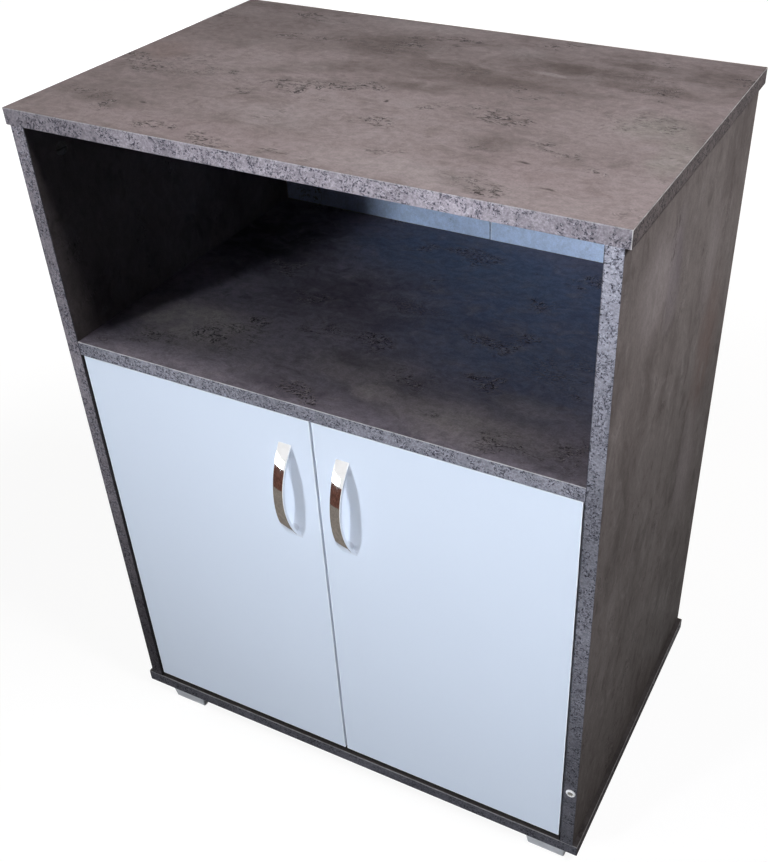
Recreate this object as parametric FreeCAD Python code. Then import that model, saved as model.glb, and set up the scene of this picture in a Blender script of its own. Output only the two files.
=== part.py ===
import FreeCAD, Part
import math
import os

os.makedirs("parts", exist_ok=True)
V = FreeCAD.Vector

# Carcass, in millimetres
board = 16.0
carcass_width = 600.0
carcass_depth = 400.0
body_height = 780.0
top_overhang = 5.0
bottom_overhang = 6.0
niche_height = 230.0
band = 0.5
back_board = 3.0
back_inset = 1.5
seam_x = 7.5
seam_gap = 0.5
nail_seam = 9.0
nail_end = 40.0
nail_count = 6
nail_radius = 0.7
nail_head_radius = 2.0
nail_length = 16.0
nail_head = 0.5

# Feet
foot_height = 16.0
foot_top_length = 50.0
foot_bottom_length = 46.0
foot_depth = 30.0
foot_draft = 2.0
foot_round = 2.0
foot_floor = 5.0
foot_setback = 1.0
foot_left_x = -245.5
foot_right_x = 266.5

# Doors
door_recess = 2.0
door_side_gap = 2.0
door_centre_gap = 3.0
door_top_gap = 2.0
door_bottom_gap = 6.5

# Bow handles
handle_length = 122.7
handle_rise = 23.0
handle_strap = 4.0
handle_end_width = 15.8
handle_mid_width = 11.6
handle_spacing = 96.0
handle_x = 33.5
handle_drop = 97.6
handle_post = 4.5
handle_screw = 2.0
handle_screw_gap = 0.3
handle_screw_head = 4.0
handle_thread = 6.8

# Cup hinges
cup_bore_radius = 17.5
cup_gap = 0.1
cup_depth = 11.0
cup_wall = 1.2
cup_floor = 0.8
cup_flange = 1.2
cup_lip = 1.6
cup_edge_distance = 5.0
cup_floor_gap = 0.5
cup_wing_half = 6.5
wing_round = 5.0
hinge_inset = 90.0
pin_from_side = 22.0
pin_below_mouth = 8.0
pin_radius = 1.25
pin_end_gap = 0.3
running_gap = 0.05
knuckle_radius = 1.9
arm_thick = 2.5
arm_half_width = 8.0
arm_reach = 60.0
arm_tail = 14.0
arm_step = 2.0
arm_slot_half = 2.0
arm_slot_play = 0.4
crank_steps = ((0.0, 0.0), (7.0, 4.5), (12.6, 10.6), (15.0, 16.5), (12.0, 22.5), (5.0, 25.5))
plate_line = 37.0
plate_ridge = 6.5
plate_ridge_half = 6.5
plate_ridge_front = 4.0
plate_wing = 1.8
plate_wing_half = 8.0
plate_wing_reach = 24.0
arm_screw = 2.0
arm_screw_head = 4.0

# Inner shelf
inner_shelf_top = 275.0
inner_shelf_gap = 1.0
inner_shelf_setback = 34.0
inner_shelf_back_gap = 4.0
shelf_pin_radius = 2.5
shelf_pin_reach = 8.0
shelf_pin_bore = 9.0
shelf_pin_collar = 4.5
shelf_pin_collar_thick = 0.8

# Fittings that join the boards
fit_gap = 0.1
bore_spare = 0.5
screw_head = 1.4
small_screw = 1.75
small_head = 3.4
cam_from_edge = 40.0
cam_radius = 7.5
cam_sides = 10
cam_height = 12.5
cam_setback = 34.0
cam_slot_half = 0.7
cam_slot_depth = 1.5
bolt_radius = 3.5
bolt_thread_radius = 2.5
bolt_thread = 11.0
bolt_shoulder = 8.0
bolt_neck = 2.0
bolt_ball = 3.2
bolt_ball_back = 5.0
bolt_ball_length = 5.0
bolt_play = 0.4
dowel_from_edge = 72.0
dowel_radius = 4.0
dowel_in_end = 18.0
dowel_in_face = 11.5
confirmat_from_edge = 45.0
confirmat_head_radius = 4.9
confirmat_neck_radius = 3.4
confirmat_radius = 2.5
confirmat_length = 36.0
confirmat_head = 3.5
confirmat_sink = 0.3
confirmat_thread_start = 3.0
confirmat_socket = 2.3
confirmat_socket_depth = 2.5
shelf_pin_from_edge = 70.0
foot_screw_grip = 12.0
foot_screw_head = 3.6
foot_screw_well = 4.2
plate_screw_length = 11.5
plate_screw_half = 16.0
cup_screw_length = 11.0
cup_screw_half = 24.0
cup_screw_shift = 5.5

# Cup washer and screw on the right side's front edge
washer_radius = 5.5
washer_hole = 3.4
washer_height = 1.6
washer_chamfer = 0.96
plug_offset = 1.0
plug_height = 110.0
plug_length = 18.0
plug_head_gap = 0.35
plug_head_sink = 0.25
slot_half = 1.8
slot_half_width = 0.35
slot_depth = 0.7

# Derived positions
half_width = carcass_width / 2
inner_half = half_width - board
base_z = foot_height
bottom_top_z = base_z + board
top_z = base_z + body_height
sides_top_z = top_z - board
shelf_top_z = sides_top_z - niche_height
shelf_low_z = shelf_top_z - board
total_depth = carcass_depth + back_board + nail_head + handle_rise - door_recess
front_y = -total_depth / 2 + handle_rise - door_recess
back_y = front_y + carcass_depth
door_front_y = front_y + door_recess
door_back_y = door_front_y + board
door_low_z = bottom_top_z + door_bottom_gap
door_high_z = shelf_low_z - door_top_gap
side_mid = inner_half + board / 2


def box(x0, x1, y0, y1, z0, z1):
    return Part.makeBox(x1 - x0, y1 - y0, z1 - z0, V(x0, y0, z0))


def rod(radius, start, axis, length):
    return Part.makeCylinder(radius, length, V(*start), V(*axis))


def cone(r_start, r_end, start, axis, length):
    return Part.makeCone(r_start, r_end, length, V(*start), V(*axis))


def prism(radius, start, axis, length, sides=8):
    """Straight prism with a regular outline, for small shanks and heads."""
    direction = V(*axis)
    turn = FreeCAD.Rotation(V(0, 0, 1), direction)
    corners = []
    for i in range(sides + 1):
        angle = 2 * math.pi * i / sides
        spoke = V(radius * math.cos(angle), radius * math.sin(angle), 0)
        corners.append(V(*start) + turn.multVec(spoke))
    return Part.Face(Part.makePolygon(corners)).extrude(direction * length)


def bore(radius, start, axis, depth, sides=8):
    """Hidden hole that clears a prism of this radius by the fit gap on every side."""
    return prism(radius + fit_gap / math.cos(math.pi / sides), start, axis, depth, sides)


def slab(centre, along, across, inward, half_length, half_width, depth):
    """Shallow rectangular cutter for a driver slot, centred on a head."""
    ends = []
    for a, b in ((-1, -1), (1, -1), (1, 1), (-1, 1), (-1, -1)):
        ends.append(centre + along * (a * half_length) + across * (b * half_width))
    return Part.Face(Part.makePolygon(ends)).extrude(inward * depth)


def drill(body, cutters):
    if not cutters:
        return body
    return body.cut(cutters)


def joined(pieces):
    body = pieces[0].fuse(pieces[1:])
    return body.removeSplitter()


def flat_screw(seat, axis, head_radius, shank_radius, length):
    """Small screw: a low head outside its seat and a shank along the axis."""
    head = prism(head_radius, seat, tuple(V(*axis) * -1), screw_head, 6)
    shank = prism(shank_radius, seat, axis, length, 6)
    return joined([head, shank])


def mirrored(shape):
    return shape.mirror(V(0, 0, 0), V(1, 0, 0))


def rounded(block, along, radius):
    """The block with its four edges along one axis filleted."""
    edges = [e for e in block.Edges if e.tangentAt(e.FirstParameter).cross(along).Length < 0.5]
    return block.makeFillet(radius, edges)


def save(name, solids):
    if not isinstance(solids, list):
        solids = [solids]
    shape = solids[0] if len(solids) == 1 else Part.makeCompound(solids)
    shape.exportStep("parts/" + name + ".step")


# Positions shared by the boards and the fittings
def both_ends(from_edge):
    """Two places along the depth, the same distance in from the front and from the back."""
    return (front_y + from_edge, back_y - from_edge)


cam_depths = both_ends(cam_from_edge)
dowel_depths = both_ends(dowel_from_edge)
confirmat_depths = both_ends(confirmat_from_edge)
shelf_pin_depths = both_ends(shelf_pin_from_edge)
shelf_mid_z = shelf_low_z + board / 2
shelf_pin_z = inner_shelf_top - board - shelf_pin_radius
hinge_heights = (door_low_z + hinge_inset, door_high_z - hinge_inset)
cup_radius = cup_bore_radius - cup_gap
cup_x = inner_half - door_side_gap - cup_edge_distance - cup_bore_radius
pin_from_face = board - pin_below_mouth
pin_x = inner_half - pin_from_side
pin_y = door_front_y + pin_from_face
plate_y = front_y + plate_line
handle_z = door_high_z - handle_drop
plug_x = side_mid + plug_offset
plug_z = base_z + plug_height
sides_of_body = (-1, 1)


def top_cam_cutters(side):
    """Bores in one side panel for the fittings that hold the top."""
    cutters = []
    inner = side * inner_half
    for y in cam_depths:
        z = sides_top_z - cam_setback
        cutters.append(bore(cam_radius, (inner, y, z), (side, 0, 0), cam_height + bore_spare, cam_sides))
        cutters.append(bore(bolt_radius, (side * side_mid, y, z), (0, 0, 1), cam_setback, 6))
    for y in dowel_depths:
        start = (side * side_mid, y, sides_top_z)
        cutters.append(bore(dowel_radius, start, (0, 0, -1), dowel_in_end + bore_spare))
    return cutters


def shelf_side_cutters(side):
    """Bores in one side panel for the middle shelf, the hinge plates and the shelf pins."""
    cutters = []
    inner = side * inner_half
    for y in cam_depths:
        start = (inner, y, shelf_mid_z)
        cutters.append(bore(bolt_thread_radius, start, (side, 0, 0), bolt_thread + bore_spare, 6))
    for y in dowel_depths:
        cutters.append(bore(dowel_radius, (inner, y, shelf_mid_z), (side, 0, 0), dowel_in_face + bore_spare))
    for y in shelf_pin_depths:
        cutters.append(bore(shelf_pin_radius, (inner, y, shelf_pin_z), (side, 0, 0), shelf_pin_bore))
    for z in hinge_heights:
        for shift in (-plate_screw_half, plate_screw_half):
            start = (inner, plate_y, z + shift)
            cutters.append(bore(small_screw, start, (side, 0, 0), plate_screw_length, 6))
    return cutters


def confirmat_cutters(side):
    """Bores in the end of one side panel for the screws that come up through the bottom."""
    cutters = []
    for y in confirmat_depths:
        start = (side * side_mid, y, bottom_top_z)
        cutters.append(bore(confirmat_radius, start, (0, 0, 1), confirmat_length + bore_spare))
    return cutters


# Side panels with their front edge bands
for side, name in ((-1, "left"), (1, "right")):
    x0 = min(side * inner_half, side * half_width)
    panel = box(x0, x0 + board, front_y + band, back_y, bottom_top_z, sides_top_z)
    cutters = top_cam_cutters(side) + shelf_side_cutters(side) + confirmat_cutters(side)
    edge = box(x0, x0 + board, front_y, front_y + band, bottom_top_z, sides_top_z)
    if side > 0:
        hole = bore(small_screw, (plug_x, front_y, plug_z), (0, 1, 0), plug_length + bore_spare, 6)
        cutters.append(hole)
        edge = edge.cut(hole)
    save(name + "_side_panel", drill(panel, cutters))
    save(name + "_side_edge_band", edge)

# Top panel, banded on the front and both ends
top_half = half_width + top_overhang
top = box(-top_half + band, top_half - band, front_y + band, back_y, sides_top_z, top_z)
cutters = []
for side in sides_of_body:
    for y in cam_depths:
        start = (side * side_mid, y, sides_top_z)
        cutters.append(bore(bolt_thread_radius, start, (0, 0, 1), bolt_thread + bore_spare, 6))
    for y in dowel_depths:
        start = (side * side_mid, y, sides_top_z)
        cutters.append(bore(dowel_radius, start, (0, 0, 1), dowel_in_face + bore_spare))
save("top_panel", drill(top, cutters))
save("top_edge_bands", [
    box(-top_half, top_half, front_y, front_y + band, sides_top_z, top_z),
    box(-top_half, -top_half + band, front_y + band, back_y, sides_top_z, top_z),
    box(top_half - band, top_half, front_y + band, back_y, sides_top_z, top_z)])

# Bottom panel, banded on the front and both ends
bottom_half = half_width + bottom_overhang
bottom = box(-bottom_half + band, bottom_half - band, front_y + band, back_y, base_z, bottom_top_z)
cutters = []
for side in sides_of_body:
    for y in confirmat_depths:
        centre = (side * side_mid, y, base_z)
        cutters.append(bore(confirmat_neck_radius, centre, (0, 0, 1), board))
        cutters.append(bore(confirmat_head_radius, centre, (0, 0, 1), confirmat_head, 12))
foot_centres = []
for foot_x in (foot_left_x, foot_right_x):
    foot_centres.append((foot_x, front_y + foot_setback + foot_depth / 2))
    foot_centres.append((foot_x, back_y - foot_setback - foot_depth / 2))
for foot_x, foot_y in foot_centres:
    cutters.append(bore(small_screw, (foot_x, foot_y, base_z), (0, 0, 1), foot_screw_grip + bore_spare, 6))
save("bottom_panel", drill(bottom, cutters))
save("bottom_edge_bands", [
    box(-bottom_half, bottom_half, front_y, front_y + band, base_z, bottom_top_z),
    box(-bottom_half, -bottom_half + band, front_y + band, back_y, base_z, bottom_top_z),
    box(bottom_half - band, bottom_half, front_y + band, back_y, base_z, bottom_top_z)])

# Middle shelf between the sides, with cam housings let into its underside
shelf = box(-inner_half, inner_half, front_y + band, back_y, shelf_low_z, shelf_top_z)
cutters = []
for side in sides_of_body:
    cam_x = side * (inner_half - cam_setback)
    for y in cam_depths:
        cam_at = (cam_x, y, shelf_low_z)
        cutters.append(bore(cam_radius, cam_at, (0, 0, 1), cam_height + bore_spare, cam_sides))
        cutters.append(bore(bolt_radius, (cam_x, y, shelf_mid_z), (side, 0, 0), cam_setback, 6))
    for y in dowel_depths:
        start = (side * inner_half, y, shelf_mid_z)
        cutters.append(bore(dowel_radius, start, (-side, 0, 0), dowel_in_end + bore_spare))
save("middle_shelf", drill(shelf, cutters))
save("shelf_edge_band", box(-inner_half, inner_half, front_y, front_y + band, shelf_low_z, shelf_top_z))

# Loose inner shelf on four pins
loose_half = inner_half - inner_shelf_gap
loose_front = front_y + inner_shelf_setback
loose_back = back_y - inner_shelf_back_gap
loose_low = inner_shelf_top - board
save("inner_shelf", box(-loose_half, loose_half, loose_front + band, loose_back, loose_low, inner_shelf_top))
save("inner_shelf_edge_band",
     box(-loose_half, loose_half, loose_front, loose_front + band, loose_low, inner_shelf_top))
pins = []
for side in sides_of_body:
    for y in shelf_pin_depths:
        start = (side * (inner_half + shelf_pin_reach), y, shelf_pin_z)
        peg = prism(shelf_pin_radius, start, (-side, 0, 0), 2 * shelf_pin_reach)
        collar_at = (side * inner_half, y, shelf_pin_z)
        collar = prism(shelf_pin_collar, collar_at, (-side, 0, 0), shelf_pin_collar_thick)
        above = box(-half_width, half_width, y - board, y + board, loose_low, inner_shelf_top)
        pins.append(joined([peg, collar]).cut(above))
save("shelf_pins", pins)

# Cam fittings: bolts with a ball end, and round housings with a hooked slot
housings = []
bolts = []
dowels = []


def cam_pair(housing_start, housing_axis, bolt_start, bolt_axis):
    """One housing and the bolt it grips; the bolt starts in the plane where the two boards meet."""
    bolt_at = V(*bolt_start)
    direction = V(*bolt_axis)
    neck = bolt_at + direction * bolt_shoulder
    ball = bolt_at + direction * (cam_setback - bolt_ball_back)
    bolts.append(joined([
        prism(bolt_thread_radius, bolt_start, tuple(direction * -1), bolt_thread, 6),
        prism(bolt_radius, bolt_start, bolt_axis, bolt_shoulder, 6),
        prism(bolt_neck, neck, bolt_axis, cam_setback - bolt_ball_back - bolt_shoulder, 6),
        prism(bolt_ball, ball, bolt_axis, bolt_ball_length, 6)]))
    mouth = bolt_at + direction * (cam_setback - cam_radius - bore_spare)
    narrow = prism(bolt_neck + bolt_play, mouth, bolt_axis, cam_radius, 6)
    hollow_at = bolt_at + direction * (cam_setback - bolt_ball_back - bolt_play)
    hollow = prism(bolt_ball + bolt_play, hollow_at, bolt_axis, bolt_ball_length + 2 * bolt_play, 6)
    body = prism(cam_radius, housing_start, housing_axis, cam_height, cam_sides)
    across = V(*housing_axis).cross(direction)
    screw_slot = slab(V(*housing_start), across, direction, V(*housing_axis),
                      cam_radius, cam_slot_half, cam_slot_depth)
    housings.append(body.cut([narrow, hollow, screw_slot]))


for side in sides_of_body:
    for y in cam_depths:
        z = sides_top_z - cam_setback
        cam_pair((side * inner_half, y, z), (side, 0, 0), (side * side_mid, y, sides_top_z), (0, 0, -1))
        cam_x = side * (inner_half - cam_setback)
        cam_pair((cam_x, y, shelf_low_z), (0, 0, 1), (side * inner_half, y, shelf_mid_z), (-side, 0, 0))
    for y in dowel_depths:
        start = (side * side_mid, y, sides_top_z - dowel_in_end)
        dowels.append(prism(dowel_radius, start, (0, 0, 1), dowel_in_end + dowel_in_face))
        start = (side * (inner_half - dowel_in_end), y, shelf_mid_z)
        dowels.append(prism(dowel_radius, start, (side, 0, 0), dowel_in_end + dowel_in_face))
save("cam_housings", housings)
save("cam_bolts", bolts)
save("wooden_dowels", dowels)

# Confirmat screws up through the bottom panel into the sides
confirmats = []
for side in sides_of_body:
    for y in confirmat_depths:
        centre = V(side * side_mid, y, base_z)
        head = centre + V(0, 0, confirmat_sink)
        neck = centre + V(0, 0, confirmat_head)
        thread = centre + V(0, 0, board - confirmat_thread_start)
        neck_length = board - confirmat_thread_start - confirmat_head
        screw = joined([
            prism(confirmat_head_radius, head, (0, 0, 1), confirmat_head - confirmat_sink, 12),
            prism(confirmat_neck_radius, neck, (0, 0, 1), neck_length),
            prism(confirmat_radius, thread, (0, 0, 1), confirmat_length + confirmat_thread_start)])
        confirmats.append(screw.cut(prism(confirmat_socket, head, (0, 0, 1), confirmat_socket_depth, 6)))
save("confirmat_screws", confirmats)

# Two back boards nailed over the rear edges
board_low = base_z + back_inset
board_high = top_z - back_inset
board_half = half_width - back_inset
halves = {
    "back_board_left": (-board_half, seam_x - seam_gap / 2),
    "back_board_right": (seam_x + seam_gap / 2, board_half)}
for name, (x0, x1) in halves.items():
    save(name, box(x0, x1, back_y, back_y + back_board, board_low, board_high))
nail_spots = []
for z in (base_z + board / 2, shelf_mid_z, top_z - board / 2):
    for x in (seam_x - nail_seam, seam_x + nail_seam):
        nail_spots.append((x, z))
    for side in sides_of_body:
        for step in range(1, 3):
            nail_spots.append((side * side_mid * step / 3, z))
nail_pitch = (body_height - 2 * nail_end) / (nail_count - 1)
for side in sides_of_body:
    for step in range(nail_count):
        nail_spots.append((side * side_mid, base_z + nail_end + step * nail_pitch))
nails = []
for x, z in nail_spots:
    face = V(x, back_y + back_board, z)
    shank = prism(nail_radius, face, (0, -1, 0), nail_length, 4)
    head = prism(nail_head_radius, face, (0, 1, 0), nail_head, 6)
    nails.append(joined([shank, head]))
save("back_nails", nails)

# Feet: tapered blocks, each held by one screw up into the bottom panel
foot_names = ("foot_front_left", "foot_back_left", "foot_front_right", "foot_back_right")
foot_screws = []
for name, (foot_x, foot_y) in zip(foot_names, foot_centres):
    lean_x = (foot_top_length - foot_bottom_length) / 2
    lean_y = foot_draft
    block = Part.makeWedge(0, 0, 0, lean_y, lean_x, foot_top_length, foot_height, foot_depth,
                           foot_depth - lean_y, foot_top_length - lean_x)
    block.rotate(V(0, 0, 0), V(1, 0, 0), -90)
    block.translate(V(foot_x - foot_top_length / 2, foot_y - foot_depth / 2, foot_height))
    block = rounded(block, V(0, 0, 1), foot_round)
    block = block.cut(prism(foot_screw_well, (foot_x, foot_y, 0), (0, 0, 1), foot_height - foot_floor, 12))
    block = block.cut(bore(small_screw, (foot_x, foot_y, 0), (0, 0, 1), foot_height, 6))
    save(name, block)
    seat = (foot_x, foot_y, foot_height - foot_floor)
    length = foot_floor + foot_screw_grip
    foot_screws.append(flat_screw(seat, (0, 0, 1), foot_screw_head, small_screw, length))
save("foot_screws", foot_screws)

# Cup washer and screw on the front edge of the right side
washer_face = front_y - washer_height
ring = rod(washer_radius, (plug_x, front_y, plug_z), (0, -1, 0), washer_height)
rim = [e for e in ring.Edges if abs(e.CenterOfMass.y - washer_face) < fit_gap]
ring = ring.makeChamfer(washer_chamfer, rim)
hole = cone(small_screw + fit_gap, washer_hole, (plug_x, front_y, plug_z), (0, -1, 0), washer_height)
save("edge_cup_washer", ring.cut(hole))
head_height = washer_height - plug_head_sink
head = cone(small_screw, washer_hole - plug_head_gap, (plug_x, front_y, plug_z), (0, -1, 0), head_height)
shank = prism(small_screw, (plug_x, front_y, plug_z), (0, 1, 0), plug_length, 6)
screw = joined([head, shank])
top_of_head = V(plug_x, front_y - head_height, plug_z)
for along, across in ((V(1, 0, 0), V(0, 0, 1)), (V(0, 0, 1), V(1, 0, 0))):
    screw = screw.cut(slab(top_of_head, along, across, V(0, 1, 0), slot_half, slot_half_width, slot_depth))
save("edge_screw", screw)


def arm_path():
    """Centre line of the arm in plan: round the door's edge, then straight back over the plate."""
    strap_line = plate_ridge + arm_thick / 2
    points = [(pin_from_side + away, pin_from_face + back) for away, back in crank_steps]
    crank_back = points[-1][1]
    points.append((strap_line + arm_step, crank_back))
    points.append((strap_line, crank_back + arm_step))
    points.append((strap_line, pin_from_face + arm_reach))
    return [V(inner_half - from_side, door_front_y + from_face, 0) for from_side, from_face in points]


def hinge_arm(z):
    """Cranked arm of one hinge on the right: knuckle, crank and the strap on the plate."""
    half = arm_half_width
    path = arm_path()
    outline = Part.makePolygon(path).makeOffset2D(arm_thick / 2, 2, False, False)
    outline.translate(V(0, 0, z - half))
    strap = Part.Face(outline).extrude(V(0, 0, 2 * half))
    knuckle = rod(knuckle_radius, (pin_x, pin_y, z - half), (0, 0, 1), 2 * half)
    arm = joined([strap, knuckle])
    arm = arm.cut(rod(pin_radius + running_gap, (pin_x, pin_y, z - half), (0, 0, 1), 2 * half))
    screw_y = path[-1].y - arm_tail
    slot_x = inner_half - plate_ridge - arm_thick
    slot_z = arm_screw + arm_slot_play
    slot_y = arm_slot_half + slot_z
    slot = box(slot_x, slot_x + arm_thick, screw_y - slot_y, screw_y + slot_y, z - slot_z, z + slot_z)
    return arm.cut(slot), screw_y


def mounting_plate(z, screw_y):
    """Winged base plate with the ridge that carries the arm."""
    wings = box(inner_half - plate_wing, inner_half, plate_y - plate_wing_half, plate_y + plate_wing_half,
                z - plate_wing_reach, z + plate_wing_reach)
    wings = rounded(wings, V(1, 0, 0), wing_round)
    ridge = box(inner_half - plate_ridge, inner_half, plate_y - plate_ridge_front, screw_y + arm_tail,
                z - plate_ridge_half, z + plate_ridge_half)
    plate = joined([wings, ridge])
    for shift in (-plate_screw_half, plate_screw_half):
        seat = (inner_half - plate_wing, plate_y, z + shift)
        plate = plate.cut(bore(small_screw, seat, (1, 0, 0), plate_wing, 6))
    seat = (inner_half - plate_ridge, screw_y, z)
    return plate.cut(bore(arm_screw, seat, (1, 0, 0), plate_ridge, 6))


def hinge_cup(z):
    """Pressed cup and its rim, one turned section, with a screw wing above and below."""
    mouth = door_back_y + cup_flange
    deep = door_back_y - cup_depth
    section = [
        (0, deep), (cup_radius, deep), (cup_radius, door_back_y),
        (cup_radius + cup_lip, door_back_y), (cup_radius + cup_lip, mouth),
        (cup_radius - cup_wall, mouth), (cup_radius - cup_wall, deep + cup_floor),
        (0, deep + cup_floor), (0, deep)]
    outline = Part.makePolygon([V(cup_x + away, y, z) for away, y in section])
    cup = Part.Face(outline).revolve(V(cup_x, 0, z), V(0, 1, 0), 360)
    wing_x = cup_x - cup_screw_shift
    wing_reach = cup_screw_half + cup_wing_half
    wings = box(wing_x - cup_wing_half, wing_x + cup_wing_half, door_back_y, mouth,
                z - wing_reach, z + wing_reach)
    wings = rounded(wings, V(0, 1, 0), wing_round)
    wings = wings.cut(rod(cup_radius, (cup_x, door_back_y, z), (0, 1, 0), cup_flange))
    cup = joined([cup, wings])
    pin_seat = (pin_radius + running_gap) / math.cos(math.pi / 8)
    cup = cup.cut(prism(pin_seat, (pin_x, pin_y, z - cup_bore_radius), (0, 0, 1), 2 * cup_bore_radius))
    for shift in (-cup_screw_half, cup_screw_half):
        cup = cup.cut(bore(small_screw, (wing_x, door_back_y, z + shift), (0, 1, 0), cup_flange, 6))
    return cup


plate_screws = []
arm_screws = []
cup_screws = {-1: [], 1: []}
for level, z in zip(("lower", "upper"), hinge_heights):
    arm, screw_y = hinge_arm(z)
    plate = mounting_plate(z, screw_y)
    cup = hinge_cup(z)
    chord = math.sqrt((cup_radius - pin_end_gap) ** 2 - (pin_x - cup_x) ** 2)
    pin = rod(pin_radius, (pin_x, pin_y, z - chord), (0, 0, 1), 2 * chord)
    plate_set = []
    for shift in (-plate_screw_half, plate_screw_half):
        seat = (inner_half - plate_wing, plate_y, z + shift)
        plate_set.append(flat_screw(seat, (1, 0, 0), small_head, small_screw, plate_screw_length))
    seat = (inner_half - plate_ridge - arm_thick, screw_y, z)
    arm_set = flat_screw(seat, (1, 0, 0), arm_screw_head, arm_screw, arm_thick + plate_ridge - bore_spare)
    cup_set = []
    for shift in (-cup_screw_half, cup_screw_half):
        seat = (cup_x - cup_screw_shift, door_back_y + cup_flange, z + shift)
        cup_set.append(flat_screw(seat, (0, -1, 0), small_head, small_screw, cup_screw_length))
    for side, name in ((1, "right"), (-1, "left")):
        turned = (lambda s: s) if side > 0 else mirrored
        prefix = name + "_" + level + "_hinge_"
        save(prefix + "arm", turned(arm))
        save(prefix + "plate", turned(plate))
        save(prefix + "cup", turned(cup))
        save(prefix + "pin", turned(pin))
        plate_screws += [turned(s) for s in plate_set]
        arm_screws.append(turned(arm_set))
        cup_screws[side] += [turned(s) for s in cup_set]
save("plate_screws", plate_screws)
save("arm_screws", arm_screws)
save("left_cup_screws", cup_screws[-1])
save("right_cup_screws", cup_screws[1])

# Doors, banded all round, bored for cups and handle screws
door_outer = inner_half - door_side_gap
door_inner = door_centre_gap / 2
door = box(door_inner + band, door_outer - band, door_front_y, door_back_y,
           door_low_z + band, door_high_z - band)
cutters = []
for z in hinge_heights:
    cup_bore_start = (cup_x, door_back_y - cup_depth - cup_floor_gap, z)
    cutters.append(rod(cup_bore_radius, cup_bore_start, (0, 1, 0), cup_depth + cup_floor_gap))
    for shift in (-cup_screw_half, cup_screw_half):
        start = (cup_x - cup_screw_shift, door_back_y, z + shift)
        cutters.append(bore(small_screw, start, (0, -1, 0), cup_screw_length - cup_flange + bore_spare, 6))
for shift in (-handle_spacing / 2, handle_spacing / 2):
    start = (handle_x, door_front_y, handle_z + shift)
    cutters.append(prism(handle_screw + handle_screw_gap, start, (0, 1, 0), board))
door = drill(door, cutters)
door_bands = [
    box(door_inner, door_inner + band, door_front_y, door_back_y, door_low_z, door_high_z),
    box(door_outer - band, door_outer, door_front_y, door_back_y, door_low_z, door_high_z),
    box(door_inner + band, door_outer - band, door_front_y, door_back_y, door_low_z, door_low_z + band),
    box(door_inner + band, door_outer - band, door_front_y, door_back_y, door_high_z - band, door_high_z)]

# Bow handle: an arched strap, waisted in the middle, on two short posts
half_length = handle_length / 2
half_end = handle_end_width / 2
arch_radius = (half_length ** 2 + handle_rise ** 2) / (2 * handle_rise)
arch_y = door_front_y + arch_radius - handle_rise
arch_start = (handle_x - half_end, arch_y, handle_z)
outer = rod(arch_radius, arch_start, (1, 0, 0), handle_end_width)
strap = outer.cut(rod(arch_radius - handle_strap, arch_start, (1, 0, 0), handle_end_width))
strap = strap.common(box(handle_x - half_end, handle_x + half_end, door_front_y - handle_rise, door_front_y,
                         handle_z - half_length, handle_z + half_length))
waist = (handle_end_width - handle_mid_width) / 2
waist_radius = (half_length ** 2 + waist ** 2) / (2 * waist)
for side in sides_of_body:
    waist_at = (handle_x + side * (handle_mid_width / 2 + waist_radius), door_front_y, handle_z)
    strap = strap.cut(rod(waist_radius, waist_at, (0, -1, 0), handle_rise))
posts = []
for shift in (-handle_spacing / 2, handle_spacing / 2):
    reach = math.sqrt(arch_radius ** 2 - shift ** 2) - (arch_radius - handle_rise) - handle_strap / 2
    posts.append(prism(handle_post, (handle_x, door_front_y, handle_z + shift), (0, -1, 0), reach, 12))
handle = joined([strap] + posts)
handle_screws = []
for shift in (-handle_spacing / 2, handle_spacing / 2):
    start = (handle_x, door_front_y, handle_z + shift)
    handle = handle.cut(bore(handle_screw, start, (0, -1, 0), handle_thread + bore_spare, 6))
    seat = (handle_x, door_back_y, handle_z + shift)
    handle_screws.append(flat_screw(seat, (0, -1, 0), handle_screw_head, handle_screw, board + handle_thread))
for side, name in ((1, "right"), (-1, "left")):
    turned = (lambda s: s) if side > 0 else mirrored
    save(name + "_door", turned(door))
    save(name + "_door_edge_bands", [turned(s) for s in door_bands])
    save(name + "_handle", turned(handle))
    save(name + "_handle_screws", [turned(s) for s in handle_screws])
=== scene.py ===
import math
import bpy
import bmesh
from mathutils import Matrix, Vector


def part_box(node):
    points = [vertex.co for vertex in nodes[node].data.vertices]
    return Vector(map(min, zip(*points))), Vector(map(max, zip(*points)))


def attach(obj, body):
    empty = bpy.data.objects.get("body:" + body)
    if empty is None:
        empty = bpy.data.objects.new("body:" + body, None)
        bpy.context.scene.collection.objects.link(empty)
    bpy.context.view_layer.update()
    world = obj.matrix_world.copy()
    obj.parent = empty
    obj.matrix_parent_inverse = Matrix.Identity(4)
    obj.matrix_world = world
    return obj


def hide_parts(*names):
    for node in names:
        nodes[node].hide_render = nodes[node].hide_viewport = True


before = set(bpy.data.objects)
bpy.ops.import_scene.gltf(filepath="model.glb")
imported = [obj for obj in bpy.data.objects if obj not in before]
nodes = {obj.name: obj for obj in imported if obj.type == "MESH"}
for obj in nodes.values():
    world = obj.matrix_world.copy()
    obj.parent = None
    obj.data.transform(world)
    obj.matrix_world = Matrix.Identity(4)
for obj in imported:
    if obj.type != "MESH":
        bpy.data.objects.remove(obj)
scene = bpy.context.scene


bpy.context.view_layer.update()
print("stage: frame loaded,", len(nodes), "nodes")


# small helpers for shader trees
def newMaterial(name):
    made = bpy.data.materials.new(name)
    made.use_nodes = True
    made.node_tree.nodes.clear()
    return made


def put(tree, kind, inputs=None, **settings):
    made = tree.nodes.new("ShaderNode" + kind)
    for key, value in settings.items():
        setattr(made, key, value)
    for key, value in (inputs or {}).items():
        if isinstance(value, bpy.types.NodeSocket):
            tree.links.new(value, made.inputs[key])
        else:
            made.inputs[key].default_value = value
    return made


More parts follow.
